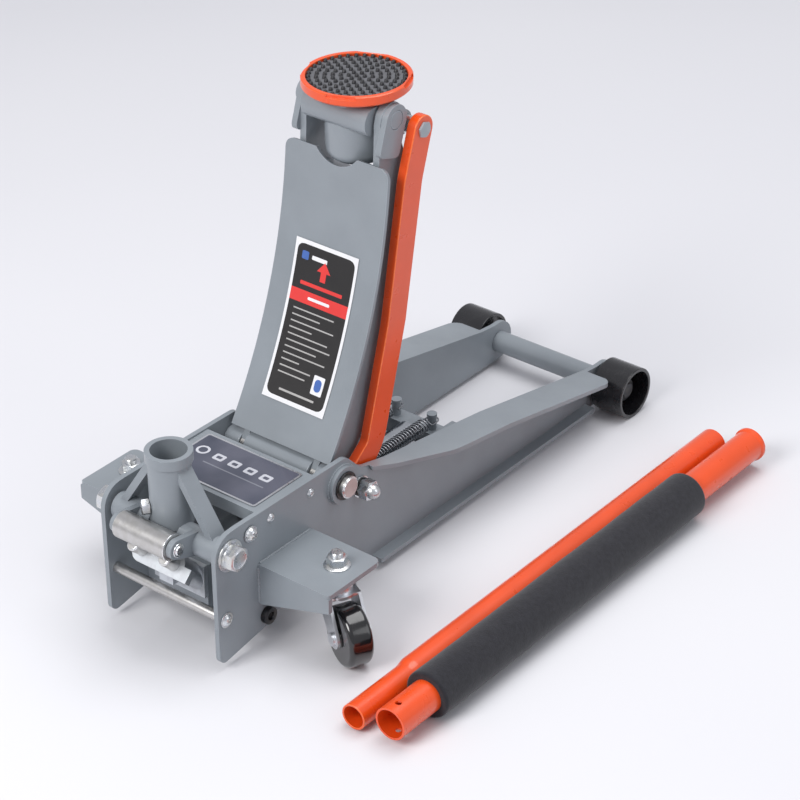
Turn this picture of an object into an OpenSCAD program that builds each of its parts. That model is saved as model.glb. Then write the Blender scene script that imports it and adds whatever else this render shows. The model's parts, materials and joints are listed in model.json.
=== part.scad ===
// Hydraulic floor jack, shown raised, with its two-piece pump handle laid beside it.
// X runs forward to the front rollers, +Y is the left side and Z is up from the floor.
// Outlines of plates are given as [x, z] points seen from the right side.

/* [Frame] */
// Gap between the two side plates
frame_gap = 130; // [126:1:140]
// Thickness of the side plate steel
plate_t = 5; // [4:0.5:6]
// How far the rail flanges stand out from the web
flange_w = 32; // [24:1:36]
// Height of the side plates over the pump unit
frame_h = 142; // [138:1:150]

/* [Lift] */
// Height of the saddle's top when fully raised
raised_h = 468; // [455:1:480]
// Angle that the arm turns through from raised to lowered
lift_angle = 80; // [60:1:80]
// Radius of the arm's crank
crank_r = 60; // [56:1:62]
// Diameter of the saddle
saddle_d = 102; // [92:1:104]

/* [Wheels] */
// Diameter of the front rollers
roller_d = 55; // [50:1:56]
// Width of the front rollers
roller_w = 37.6; // [30:0.1:38]
// Diameter of the rear caster wheels
caster_d = 59; // [52:1:59]
// Distance from the caster's swivel axis to its wheel axle
caster_trail = 25; // [18:1:25]
// Angle between forward and the way the casters trail
caster_angle = 115.5; // [90:0.5:150]

/* [Handle] */
// Bore of the handle socket
socket_bore = 34; // [33:0.5:35]
// Outer diameter of the lower handle tube
lower_tube_d = 30; // [28:0.5:32]
// Outer diameter of the upper handle tube
upper_tube_d = 32; // [30:0.5:34]
// Outer diameter of the foam grip
grip_d = 47; // [40:1:48]

/* [Hidden] */
$fn = 48;

// Colours
paint = "#8d9299";
orange = "#f2561d";
zinc = "#c4c9cc";
steel = "#a4a6a8";
black = "#26262a";

// Clearance of a shaft that turns or slides in its bore, and of a bolt in its hole
run = 0.05;

// Widths, each measured from the centre plane
web_in = frame_gap / 2;
web_out = web_in + plate_t;
flange_out = web_out + flange_w;
arm_in = 39.5;
arm_out = 46.5;
ear_out = 52.3;
bar_in = 31.5;
bar_out = 38.5;
link_in = 52.6;
link_out = 62.3;

// Pivots, [x, z]
pivot = [-3, 116];
link_offset = [26.5, -16];
bracket_pivot = [105, raised_h - 28];
link_foot = pivot + link_offset;
link_head = bracket_pivot + link_offset;
arm_reach = norm(bracket_pivot - pivot);
arm_angle = atan2(bracket_pivot.y - pivot.y, bracket_pivot.x - pivot.x);
shaft_r = 11;
link_bolt_r = 6;
socket_pivot = [-158, 120];
front_axle_at = [420, roller_d / 2];
front_axle_r = 8;
tie_rod_at = [-166, 54];
tie_rod_r = 5;
unit_bolt_at = [-112, 30];
screws_at = [[-101.7, 130], [-46.6, 128.4]];
round_bolt_at = [-130, 128];

// Lift arm, in its own frame: u from the pivot to the saddle pivot, n to its top side
cover_half = 60.5;
cover_t = 4;
cover_from = 16;
cover_to = 297;
cover_arc_r = 560;
cover_low_at = [160, -8];
cover_centre = cover_low_at + [0, cover_arc_r];
crank_turn = lift_angle / 2;
crank_pin_r = 8;
// Crank pin with the arm raised, [x, z]
crank_at = pivot + crank_r * [sin(crank_turn), -cos(crank_turn)];
crank_low = pivot.y - crank_r;
crank_high = crank_at.y;
// Play of the pin in its slot takes up the crank's curved path
slot_play = 1.6;

// Power unit
unit_z = 54;
ram_r = 12;
barrel_r = 18;
bore_r = 14;
tank_r = 28;
gland_to = 64;
crosshead_at = 193;
spring_y = 22.5;
spring_z = 72;
spring_r = 7.5;
spring_wire = 1.6;
spring_from = 8;
spring_to = 181;
hook_r = 6.6;
// Pumps lean back: their axis rises to the rear from the middle of the block's face
pump_tilt = 45;
pump_face = [-176.1, 97.9];
pump_ring_r = 11.5;
block_front = -146;
valve_z = 88;
plunger_y = 19;
plunger_r = 6;
plunger_out = 18.3;
plunger_foot = -13;
pump_bore_end = -34;
pump_roller_at = [-188.5, 128];
pump_roller_r = 13;
roller_pin_r = 4.5;

// Saddle
saddle_x = 113;
saddle_r = saddle_d / 2;
saddle_base = raised_h - 10.5;
stem_r = 12;
stud_pitch = 7.3;
stud_r = 2;

// Handle socket
socket_x = -155;
socket_bore_r = socket_bore / 2;
socket_r = 20;
socket_z = [128, 202];
lock_screw_z = 145;

// Casters
king_at = [-78, 127];
king_r = 6;
caster_r = caster_d / 2;
caster_w = 24;
bracket_z = 90;

// Handle tubes, laid side by side on the floor
lower_at = [-217, lower_tube_d / 2];
upper_z = grip_d / 2;
tube_gap = 0.6;
upper_at = [lower_at.x - sqrt(pow((grip_d + lower_tube_d) / 2 + tube_gap, 2)
            - pow(upper_z - lower_at.y, 2)), upper_z];

// Outer edge of the caster brackets
bracket_out = 153;

// The origin is at the middle of the whole outline, on the floor
origin = [(front_axle_at.x + roller_d / 2 + pump_roller_at.x - pump_roller_r) / 2,
          (bracket_out + upper_at.x - grip_d / 2) / 2, 0];

// ---- Helpers ----

// Moves everything so that the origin is where it should be
module placed() { translate(-origin) children(); }

// Plate between two y values, from an outline in [x, z]
module plate(y0, y1) {
  translate([0, y1, 0]) rotate([90, 0, 0]) linear_extrude(y1 - y0) children();
}

// Round bar along Y through [x, z]
module bar(at, y0, y1, r) {
  translate([at.x, y1, at.y]) rotate([90, 0, 0]) cylinder(h = y1 - y0, r = r);
}

// Round bar along X through [y, z]
module bar_x(at, x0, x1, r) {
  translate([x0, at.x, at.y]) rotate([0, 90, 0]) cylinder(h = x1 - x0, r = r);
}

// Hexagon along Y, af across its flats
module hex(at, y0, y1, af) {
  translate([at.x, y1, at.y]) rotate([90, 0, 0])
    cylinder(h = y1 - y0, r = af / 2 / cos(30), $fn = 6);
}

// Builds what is modelled on the left for the left, the right or both sides
module left() { children(); }
module right() { mirror([0, 1, 0]) children(); }
module both() { left() children(); right() children(); }

// Round ends of radius ra at a and rb at b, joined by their straight tangents
module strap(a, ra, b, rb, n = 12) {
  lean = atan2(b.y - a.y, b.x - a.x);
  open = acos((ra - rb) / norm(b - a));
  polygon([
    for (i = [0 : n]) let (t = lean + open + (360 - 2 * open) * i / n) a + ra * [cos(t), sin(t)],
    for (i = [0 : n]) let (t = lean - open + 2 * open * i / n) b + rb * [cos(t), sin(t)]]);
}

// Arc of radius r in place of the corner b between a and c
function corner(a, b, c, r, n = 6) = r == 0 ? [b] :
  let (u = (a - b) / norm(a - b), v = (c - b) / norm(c - b),
       half = acos(u * v) / 2, mid = b + (u + v) / norm(u + v) * r / sin(half),
       s = b + u * r / tan(half) - mid, e = b + v * r / tan(half) - mid,
       from = atan2(s.y, s.x), turn = (atan2(e.y, e.x) - from + 540) % 360 - 180)
  [for (i = [0 : n]) mid + r * [cos(from + turn * i / n), sin(from + turn * i / n)]];

// Outline through points that are [x, y, corner radius]
function xy(p) = [p.x, p.y];
function outline(p) = [for (i = [0 : len(p) - 1])
  each corner(xy(p[(i + len(p) - 1) % len(p)]), xy(p[i]), xy(p[(i + 1) % len(p)]), p[i].z)];

// Places children in the lift arm's own frame
module in_arm() {
  translate([pivot.x, 0, pivot.y]) rotate([0, -arm_angle, 0]) children();
}

// Cross-section of a sheet that follows the arm cover, between two radii of its arc
module cover_band(r0, r1, u0, u1) {
  intersection() {
    translate(cover_centre) difference() {
      circle(r1, $fn = 200);
      circle(r0, $fn = 200);
    }
    polygon([[u0, -60], [u1, -60], [u1, 60], [u0, 60]]);
  }
}

// ---- Frame ----

// Top edge of the rail, from the front backwards
rail_top = [[392, 51.5], [215, 87], [64, 110], [26, 119]];
flange_t = 4.6;
web_outline = outline([
  [-176, 7, 8], [-102, 19, 3], [-98, 26, 3], [18, 26, 10], [36, 7, 8], [400, 5.5, 0],
  [442, 5.5, 21.5], [442, 49.5, 21.5], [410, 49.5, 0],
  each [for (i = [0 : 2]) [rail_top[i].x, rail_top[i].y, 0]], [26, 119, 30],
  [5, frame_h - 1, 14], [-145, frame_h + 1, 0], [-176, frame_h, 22]
]);
flange_outline = [each rail_top, for (i = [3 : -1 : 0]) rail_top[i] - [0, flange_t]];

module web_holes() {
  bar(pivot, 60, 90, shaft_r + run);
  bar(socket_pivot, 60, 80, 7 + run);
  bar(tie_rod_at, 60, 80, tie_rod_r + run);
  bar(front_axle_at, 60, 80, front_axle_r + run);
  bar(unit_bolt_at, 60, 80, 4 + run);
  bar(round_bolt_at, 60, 80, 4 + run);
  for (s = screws_at) bar(s, 60, 80, 2.5 + run);
}

module side_plate(drill_link) {
  color(paint) difference() {
    union() {
      plate(web_in, web_out) polygon(web_outline);
      // Upper flange, narrower towards the pivot and rounded at its front corner
      intersection() {
        plate(web_in, flange_out) polygon(flange_outline);
        linear_extrude(200) polygon(outline([
          [37, web_in, 0], [393, web_in, 0], [393, flange_out, 14], [130, flange_out, 60],
          [37, web_out + 5, 0]]));
      }
      // Lower flange
      translate([40, web_in + 1, 8.5]) cube([350, 16, 4.5]);
      // Welded boss around the main pivot
      bar(pivot, web_out - 1, web_out + plate_t, 18.8);
    }
    web_holes();
    if (drill_link) bar(link_foot, 60, 80, link_bolt_r + run);
  }
}

module side_plate_left() { left() side_plate(false); }
module side_plate_right() { right() side_plate(true); }

bracket_outline = outline([[-121, 70.05, 0], [-47, 70.05, 0], [-47, bracket_out, 7],
  [-121, bracket_out, 4]]);

module caster_bracket() {
  color(paint) difference() {
    union() {
      translate([0, 0, bracket_z - 5]) linear_extrude(5) polygon(bracket_outline);
      // Rear flange, deep at the side plate and shallow outside
      translate([-121, 0, 0]) rotate([90, 0, 90]) linear_extrude(5)
        polygon([[70.05, 46], [bracket_out, 71], [bracket_out, 86], [70.05, 86]]);
      // Front flange
      translate([-52, 0, 0]) rotate([90, 0, 90]) linear_extrude(5)
        polygon([[70.05, 76], [146, 78], [146, 86], [70.05, 86]]);
    }
    translate([king_at.x, king_at.y, bracket_z - 6]) cylinder(h = 8, r = king_r + run);
  }
}

module caster_bracket_left() { left() caster_bracket(); }
module caster_bracket_right() { right() caster_bracket(); }

module rear_cover_plate() {
  color(paint) difference() {
    union() {
      translate([-115, -64.8, 137]) cube([79, 129.6, 3]);
      both() translate([-112, 61.8, 121]) cube([73, 3, 16.5]);
      translate([-115, -58, 127]) cube([3, 116, 10.5]);
    }
    both() for (s = screws_at) bar(s, 55, 70, 2.5 + run);
  }
}

module cover_nameplate() {
  color("#5b6470") translate([0, 0, 140]) linear_extrude(0.8)
    polygon(outline([[-110, -58, 3], [-41, -58, 3], [-41, 58, 3], [-110, 58, 3]]));
}

module cover_fasteners() {
  color(zinc) both() {
    for (s = screws_at) {
      bar(s, 60.5, web_out + 1, 2.5);
      bar(s, web_out, web_out + 2.6, 4.6);
    }
    bar(round_bolt_at, 60, web_out + 1, 4);
    bar(round_bolt_at, web_out, web_out + 2, 8);
    intersection() {
      translate([round_bolt_at.x, web_out - 2, round_bolt_at.y]) sphere(9);
      bar(round_bolt_at, web_out + 1.5, web_out + 8, 7);
    }
  }
}

module rear_tie_rod() {
  color(zinc) {
    bar(tie_rod_at, -web_out, web_out, tie_rod_r);
    both() {
      bar(tie_rod_at, web_out, web_out + 1.5, 7.5);
      bar(tie_rod_at, web_out + 1.5, web_out + 4.5, 6);
    }
  }
}

module front_axle() {
  color(zinc) {
    bar(front_axle_at, -103, 103, front_axle_r);
    both() {
      difference() {
        union() {
          bar(front_axle_at, web_out + 0.02, web_out + 4.2, 12.5);
          bar(front_axle_at, 98.6, 100.4, 12);
        }
        bar(front_axle_at, 60, 120, front_axle_r + run);
      }
    }
  }
}

module axle_spacer_tube() {
  color(paint) difference() {
    bar(front_axle_at, -web_in + 0.02, web_in - 0.02, 11.5);
    bar(front_axle_at, -web_in - 1, web_in + 1, front_axle_r + run);
  }
}

module main_pivot_shaft() {
  color(steel) {
    bar(pivot, -81, 81, shaft_r);
    both() bar(pivot, 80.5, 82, shaft_r - 1.2);
  }
}

module pivot_clips() {
  color(black) both() difference() {
    bar(pivot, web_out + plate_t + 0.1, web_out + plate_t + 1.6, 14.2);
    bar(pivot, 60, 90, shaft_r + run);
  }
}

module link_anchor_bolt() {
  color(zinc) right() {
    bar(link_foot, 50.2, 52.4, 9.5);
    bar(link_foot, 52.3, 81, link_bolt_r);
    bar(link_foot, web_out + 0.02, web_out + 2.4, 11);
    bar(link_foot, web_out + 2.4, web_out + 5, 9.6);
    hex(link_foot, web_out + 5, web_out + 15, 18);
    intersection() {
      translate([link_foot.x, web_out + 14.5, link_foot.y]) sphere(8.6);
      bar(link_foot, web_out + 14, web_out + 24, 8);
    }
  }
}

module socket_pivot_bolts() {
  color(zinc) both() {
    bar(socket_pivot, 29, web_out + 1, 7);
    bar(socket_pivot, web_out + 0.02, web_out + 2, 15.5);
    bar(socket_pivot, web_out + 2, web_out + 4.5, 12.5);
    hex(socket_pivot, web_out + 4.5, web_out + 12.5, 22);
    bar(socket_pivot, web_out + 12, web_out + 13.3, 9.8);
  }
}

module unit_mount_bolts() {
  color(black) both() {
    bar(unit_bolt_at, 42, web_out + 1, 4);
    bar(unit_bolt_at, web_out + 0.02, web_out + 5.8, 8.5);
  }
}

// Swivel bolts with their bearing cups and flange nuts
module caster_kingpins() {
  color(zinc) both() translate([king_at.x, king_at.y, 0]) {
    translate([0, 0, 58.6]) cylinder(h = 3.7, r = 9);
    translate([0, 0, 62]) cylinder(h = 42, r = king_r);
    translate([0, 0, 72.4]) cylinder(h = 12.55, r = 16.5);
    translate([0, 0, bracket_z + 0.02]) cylinder(h = 1.8, r = 12.5);
    translate([0, 0, bracket_z + 1.7]) rotate(15) cylinder(h = 8.6, r = 9.8, $fn = 6);
    translate([0, 0, 103.5]) cylinder(h = 1.5, r = king_r - 1);
  }
}

// ---- Power unit ----

// Places children on the pump block's leaning face, with +Z out along the plungers
module in_pump() {
  translate([pump_face.x, 0, pump_face.y]) rotate([0, -pump_tilt, 0]) children();
}

module pump_block() {
  color(zinc) difference() {
    union() {
      intersection() {
        in_pump() {
          // Face plate with a ring around each plunger and a lug on its right
          translate([0, 0, -7]) linear_extrude(7) {
            for (s = [-1, 1]) translate([0, s * plunger_y]) circle(pump_ring_r);
            translate([-pump_ring_r, -plunger_y]) square(2 * [pump_ring_r, plunger_y]);
            translate([-pump_ring_r, -39]) square([13.5, 20]);
          }
          both() translate([0, plunger_y, -70]) cylinder(h = 64, r = pump_ring_r - 0.6);
        }
        translate([-230, -60, 30]) cube([229 + block_front, 120, 100]);
      }
      // Housing of the release valve, and the flange on the cylinder base
      translate([-168, -8.4, 66]) cube([20, 16.8, valve_z - 66]);
      translate([block_front - 5, -31, 52]) cube([5, 62, 34]);
    }
    in_pump() both() translate([0, plunger_y, pump_bore_end])
      cylinder(h = 60, r = plunger_r + run);
    translate([socket_pivot.x, 0, 74]) cylinder(h = 20, r = 4 + run);
  }
}

module cylinder_base() {
  color(paint) difference() {
    union() {
      translate([block_front + 0.05, -30, 28]) cube([45, 60, 56]);
      translate([-126, -64.8, 20]) cube([25, 129.6, 20]);
    }
    both() bar(unit_bolt_at, 41, 80, 4 + run);
    both() translate([-124, 14, 78]) cylinder(h = 20, r = 4 + run);
  }
}

module reservoir_tube() {
  color(paint) difference() {
    bar_x([0, unit_z], -100.9, -14.1, tank_r);
    bar_x([0, unit_z], -102, -13, tank_r - 3);
    translate([-60, 0, unit_z]) cylinder(h = 40, r = 5 + run);
  }
}

module cylinder_barrel() {
  color(paint) difference() {
    bar_x([0, unit_z], -100.9, gland_to - 8, barrel_r);
    bar_x([0, unit_z], -98.4, gland_to, bore_r);
  }
}

module cylinder_gland() {
  color(steel) difference() {
    union() {
      bar_x([0, unit_z], gland_to - 7.9, gland_to, 20);
      bar_x([0, unit_z], gland_to - 20, gland_to - 7, bore_r - run);
    }
    bar_x([0, unit_z], gland_to - 22, gland_to + 2, ram_r + run);
  }
}

module spring_anchor_plate() {
  color(zinc) {
    difference() {
      translate([-14, 0, 0]) rotate([90, 0, 90]) linear_extrude(6)
        polygon(outline([[-29.8, 30, 12], [29.8, 30, 12], [29.8, 84, 8], [-29.8, 84, 8]]));
      bar_x([0, unit_z], -20, 0, barrel_r + run);
    }
    // Eyes that hold the springs' rear hooks
    both() {
      bar_x([spring_y, spring_z], -8, -1, 3);
      translate([2.4, spring_y, spring_z]) rotate([90, 0, 0])
        rotate_extrude() translate([4, 0]) circle(1.5);
    }
  }
}

module filler_plug() {
  color(black) translate([-60, 0, 0]) {
    translate([0, 0, 76]) cylinder(h = 7, r = 5);
    translate([0, 0, 82.2]) cylinder(h = 4.5, r = 8);
  }
}

module valve_plugs() {
  color(steel) both() translate([-124, 14, 0]) {
    translate([0, 0, 78.5]) cylinder(h = 7, r = 4);
    translate([0, 0, 84.02]) rotate(30) cylinder(h = 6, r = 7.5, $fn = 6);
  }
}

// Coil spring as the tube that its turns fill, with a hook at each end
module return_spring() {
  color(zinc) {
    difference() {
      bar_x([spring_y, spring_z], spring_from, spring_to, spring_r);
      bar_x([spring_y, spring_z], spring_from + 2, spring_to - 2, spring_r - spring_wire);
    }
    bar_x([spring_y, spring_z - 4], 4.4, spring_from + 0.5, spring_wire / 2);
    bar_x([spring_y + hook_r, spring_z], spring_to - 0.5, crosshead_at, spring_wire / 2);
    translate([crosshead_at, spring_y, spring_z])
      rotate(-90) rotate_extrude(angle = 180) translate([hook_r, 0]) circle(spring_wire / 2);
  }
}

module return_spring_left() { left() return_spring(); }
module return_spring_right() { right() return_spring(); }

module release_valve() {
  color(steel) translate([socket_pivot.x, 0, 0]) difference() {
    union() {
      translate([0, 0, 75]) cylinder(h = 13.3, r = 4);
      translate([0, 0, valve_z + 0.2]) cylinder(h = 5.6, r = 7);
    }
    translate([-9, -1.6, 91]) cube([18, 3.2, 5]);
  }
}

module plunger_rods() {
  color(steel) in_pump() both() translate([0, plunger_y, 0]) {
    translate([0, 0, plunger_foot]) cylinder(h = plunger_out - 1 - plunger_foot, r = plunger_r);
    translate([0, 0, plunger_out - 1]) cylinder(h = 1, r1 = plunger_r, r2 = plunger_r - 1);
  }
}

// Springs under the plungers, as the sleeves that their turns fill
module plunger_springs() {
  color(zinc) in_pump() both() translate([0, plunger_y, pump_bore_end + 0.1]) difference() {
    cylinder(h = plunger_foot - pump_bore_end - 0.2, r = 5.4);
    translate([0, 0, -1]) cylinder(h = 40, r = 4);
  }
}

module ram_rod() {
  color(zinc) difference() {
    union() {
      bar_x([0, unit_z], -20, crosshead_at - 10.02, ram_r);
      bar_x([0, unit_z], -18, -4, bore_r - run);
    }
    difference() {
      bar_x([0, unit_z], -14, -8, 20);
      bar_x([0, unit_z], -15, -7, 12);
    }
  }
}

module piston_seal() {
  color(black) difference() {
    bar_x([0, unit_z], -13.8, -8.2, bore_r - run);
    bar_x([0, unit_z], -15, -7, 12.05);
  }
}

// Block on the ram's end, with the two upright posts that the springs hook on
module crosshead() {
  color(paint) {
    difference() {
      translate([crosshead_at - 10, -bar_in + 0.05, unit_z - 9])
        cube([20, 2 * bar_in - 0.1, 17]);
      bar([crosshead_at, unit_z], -50, 50, 6 + run);
    }
    both() translate([crosshead_at, spring_y, unit_z + 7]) {
      cylinder(h = 18, r = 4.6);
      translate([0, 0, 16]) cylinder(h = 2.6, r = 5.2);
    }
  }
}

// Bars that carry the ram's pull back to the arm's cranks, and their cross bolt
module drag_bars() {
  slot_low = crank_low - 1;
  slot_high = crank_high + 1;
  slot_r = crank_pin_r + slot_play;
  color(paint) both() plate(bar_in, bar_out) difference() {
    union() {
      strap([crank_at.x, slot_low], slot_r + 8, [crank_at.x, slot_high], slot_r + 8);
      polygon([[crank_at.x, unit_z - 9], [214, unit_z - 9], [214, unit_z + 10],
               [crank_at.x, unit_z + 14]]);
    }
    strap([crank_at.x, slot_low], slot_r, [crank_at.x, slot_high], slot_r);
    translate([crosshead_at, unit_z]) circle(6 + run);
  }
  color(zinc) bar([crosshead_at, unit_z], -bar_out - 0.3, bar_out + 0.3, 6);
}

// ---- Lift arm ----

module arm_cover() {
  color(paint) in_arm() intersection() {
    plate(-cover_half, cover_half)
      cover_band(cover_arc_r, cover_arc_r + cover_t, cover_from, cover_to);
    translate([0, 0, -40]) linear_extrude(90) difference() {
      polygon(outline([[cover_from - 1, -cover_half, 0], [cover_to, -cover_half, 10],
                       [cover_to, cover_half, 10], [cover_from - 1, cover_half, 0]]));
      translate([cover_to + 18, 0]) circle(30);
    }
  }
}

ear_r = 15.5;
pin_r = 9;
side_outline = outline([
  [-16, -19, 10], [22, -46, 30], [60, -56, 60], [180, -54, 0], [290, -42, 20],
  [arm_reach - 12, -ear_r, 0], [arm_reach + ear_r, -ear_r, ear_r - 0.2],
  [arm_reach + ear_r, ear_r, ear_r - 0.2], [30, ear_r, 0], [-16, 19, 16]]);

module arm_side() {
  crank_local = [crank_r * cos(-90 + crank_turn - arm_angle),
                 crank_r * sin(-90 + crank_turn - arm_angle)];
  color(paint) in_arm() plate(arm_in, arm_out) difference() {
    union() {
      polygon(side_outline);
      strap([0, 0], 18, crank_local, 15);
    }
    translate(cover_centre) circle(cover_arc_r + cover_t + 0.02, $fn = 200);
    circle(shaft_r + run);
    translate([arm_reach, 0]) circle(pin_r + run);
  }
  // Doubler welded on the outside of the ear
  color(paint) in_arm() plate(arm_out - 0.5, ear_out) difference() {
    polygon(outline([
      [306, 1 - ear_r, 6], [arm_reach + ear_r - 1, 1 - ear_r, ear_r - 1.2],
      [arm_reach + ear_r - 1, ear_r - 1, ear_r - 1.2], [306, ear_r - 1, 6]]));
    translate([arm_reach, 0]) circle(pin_r + run);
  }
}

module arm_side_left() { left() arm_side(); }
module arm_side_right() { right() arm_side(); }

// Cross plate between the arm's sides, below the notch for the cup
module arm_stiffener() {
  color(paint) in_arm() translate([274, -arm_in + 0.02, -38])
    cube([5, 2 * arm_in - 0.04, 37]);
}

module arm_hub() {
  color(paint) difference() {
    union() {
      bar(pivot, -arm_in + 0.02, arm_in - 0.02, 15);
      both() bar(pivot, arm_out + 0.02, web_in - 0.5, 13.3);
    }
    bar(pivot, -90, 90, shaft_r + run);
  }
}

module crank_pins() {
  color(steel) both() bar(crank_at, bar_in - 0.5, arm_in - 0.02, crank_pin_r);
}

module arm_label() {
  color("#e8e8e8") in_arm() plate(-37.5, 37.5)
    cover_band(cover_arc_r - 0.7, cover_arc_r - 0.02, 52, 207);
}

module saddle_pivot_pins() {
  color(paint) {
    both() bar(bracket_pivot, 27, ear_out, pin_r);
    bar(bracket_pivot, ear_out + 0.05, ear_out + 4, 12.5);
  }
}

// ---- Parallel link ----

link_half = 13.3;
// Foot of the link in the arm's frame, and the bends above it
link_foot_un = [link_offset * [cos(arm_angle), sin(arm_angle)],
                link_offset * [-sin(arm_angle), cos(arm_angle)]];
link_bends = [[28, -54], [150, -49], [286, -30.5]];

// Point beside the path's bend i, side is 1 or -1
function beside(path, i, side) =
  let (before = path[i] - path[i - 1], after = path[i + 1] - path[i],
       along = before / norm(before) + after / norm(after),
       stretch = link_half / cos((atan2(after.y, after.x) - atan2(before.y, before.x)) / 2))
  path[i] + side * stretch * [-along.y, along.x] / norm(along);

module parallel_link() {
  foot = link_foot_un;
  head = foot + [arm_reach, 0];
  path = [foot, each link_bends, head];
  start = (path[0] - path[1]) / norm(path[0] - path[1]) * link_half;
  finish = (path[4] - path[3]) / norm(path[4] - path[3]) * link_half;
  color(orange) in_arm() plate(-link_out, -link_in) difference() {
    polygon(outline([
      each [for (p = [foot + start + [start.y, -start.x], foot + start - [start.y, -start.x]])
        [p.x, p.y, link_half - 0.2]],
      each [for (i = [1 : 3]) [beside(path, i, -1).x, beside(path, i, -1).y, 60]],
      each [for (p = [head + finish + [finish.y, -finish.x], head + finish - [finish.y, -finish.x]])
        [p.x, p.y, link_half - 0.2]],
      each [for (i = [3 : -1 : 1]) [beside(path, i, 1).x, beside(path, i, 1).y, i == 1 ? 10 : 60]]
    ]));
    for (end = [foot, head]) translate(end) circle(link_bolt_r + run);
  }
}

// ---- Saddle and its bracket ----

cup_r = 30;
barrel_bar_at = bracket_pivot - [13, 1];
bracket_profile = [
  [stem_r + run, 4], [16.5, 4], [16.5, 0], each [for (a = [-70 : 10 : 0])
  [cup_r - 12 + 12 * cos(a), 12 + 12 * sin(a)]], [cup_r, 60], [cup_r + 3, 61.5],
  [cup_r + 3, 66.5], [stem_r + run, 66.5]];

module saddle_bracket() {
  cup_z = raised_h - 81;
  color(paint) difference() {
    union() {
      translate([saddle_x, 0, cup_z]) rotate_extrude() polygon(bracket_profile);
      difference() {
        union() {
          bar(bracket_pivot, -bar_out - 0.3, bar_out + 0.3, 13);
          bar(barrel_bar_at, -bar_out + 1, bar_out - 1, 14);
        }
        translate([saddle_x, 0, cup_z]) cylinder(h = 70, r = 20);
      }
      right() plate(30.5, bar_out) strap(bracket_pivot, 12.6, link_head, 12);
    }
    both() bar(bracket_pivot, 26, 60, pin_r + run);
    right() bar(link_head, 20, 60, link_bolt_r + run);
  }
}

module link_top_bolt() {
  color(zinc) right() {
    hex(link_head, link_out + 0.1, 64.7, 14);
    bar(link_head, bar_in - 0.6, link_out + 0.2, link_bolt_r);
    difference() {
      bar(link_head, bar_out + 0.05, link_in - 0.1, 8.4);
      bar(link_head, 30, 60, link_bolt_r + run);
    }
  }
}

module saddle() {
  color(orange) translate([saddle_x, 0, 0]) {
    difference() {
      union() {
        translate([0, 0, saddle_base]) rotate_extrude() polygon([
          [0, 0], [saddle_r - 2, 0], [saddle_r, 2], [saddle_r, 9.5], [saddle_r - 1, 10.2],
          [saddle_r - 4.2, 10.2], [saddle_r - 4.6, 9.6], [saddle_r - 4.6, 3.6], [0, 3.6]]);
        translate([0, 0, saddle_base - 3.3]) cylinder(h = 4, r = 21);
      }
      // Notches in the rim
      for (a = [22.5 : 90 : 359]) rotate(a)
        translate([saddle_r - 3.2, -14, raised_h - 3.4]) cube([8, 28, 6]);
    }
    translate([0, 0, raised_h - 76.2]) cylinder(h = 63, r = stem_r);
  }
}

module saddle_pad() {
  color(black) translate([saddle_x, 0, 0]) {
    translate([0, 0, saddle_base + 3.65]) cylinder(h = 4.2, r = saddle_r - 4.8);
    translate([0, 0, raised_h - 3]) for (ring = [0 : 6]) for (i = [0 : max(0, 6 * ring - 1)])
      rotate(360 / max(1, 6 * ring) * i) translate([stud_pitch * ring, 0])
        cylinder(h = 3, r = stud_r);
  }
}

module saddle_retainer() {
  color(zinc) translate([saddle_x, 0, raised_h - 80.8]) {
    cylinder(h = 4.55, r = 5);
    translate([0, 0, 1.2]) cylinder(h = 2.3, r = 15);
  }
}

// ---- Handle socket ----

prong_in = 31.2;
prong_out = 37.2;

// Axis of the screw that locks the handle in its socket, with +Z outwards
module at_lock_screw() { translate([socket_x, 0, lock_screw_z]) rotate([0, -90, -37]) children(); }

module handle_socket() {
  boss_r = 13;
  brace_top = [16, 186];
  brace_foot = [57, 124];
  brace_run = brace_foot - brace_top;
  color(paint) difference() {
    union() {
      translate([socket_x, 0, socket_z[0]]) cylinder(h = socket_z[1] - socket_z[0], r = socket_r);
      translate([socket_x, 0, socket_z[1] - 10]) cylinder(h = 10, r = 22);
      both() {
        bar(socket_pivot, socket_bore_r + 0.4, 62, boss_r);
        plate(prong_in, prong_out) strap(socket_pivot, boss_r - 0.6, pump_roller_at, 9.5);
        // Flat brace from the tube's top to the end of the boss
        translate([socket_x - 8.5, brace_top.x, brace_top.y])
          rotate([atan2(brace_run.y, brace_run.x), 0, 0])
            translate([0, 0, -3.5]) cube([17, norm(brace_run), 7]);
      }
    }
    translate([socket_x, 0, 110]) cylinder(h = 100, r = socket_bore_r);
    both() bar(socket_pivot, 28, 70, 7 + run);
    both() bar(pump_roller_at, 20, 40, roller_pin_r + run);
    at_lock_screw() cylinder(h = 30, r = 3 + run);
  }
}

module socket_lock_screw() {
  color(zinc) at_lock_screw() {
    translate([0, 0, socket_bore_r + 0.2]) cylinder(h = 10, r = 3);
    translate([0, 0, socket_r + 0.6]) cylinder(h = 7, r = 7.5, $fn = 6);
  }
}

module roller_pin() {
  color(zinc) {
    bar(pump_roller_at, -40.2, 40.2, roller_pin_r);
    both() bar(pump_roller_at, prong_out + 0.1, prong_out + 1.6, 6.8);
  }
}

module pump_roller() {
  color(steel) difference() {
    bar(pump_roller_at, -prong_in + 0.4, prong_in - 0.4, pump_roller_r);
    bar(pump_roller_at, -40, 40, roller_pin_r + run);
  }
}

// ---- Casters ----

// Places children at the left caster, with +X along its trail at the given angle
module at_caster(turn) { translate([king_at.x, king_at.y, 0]) rotate(turn) children(); }

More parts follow.
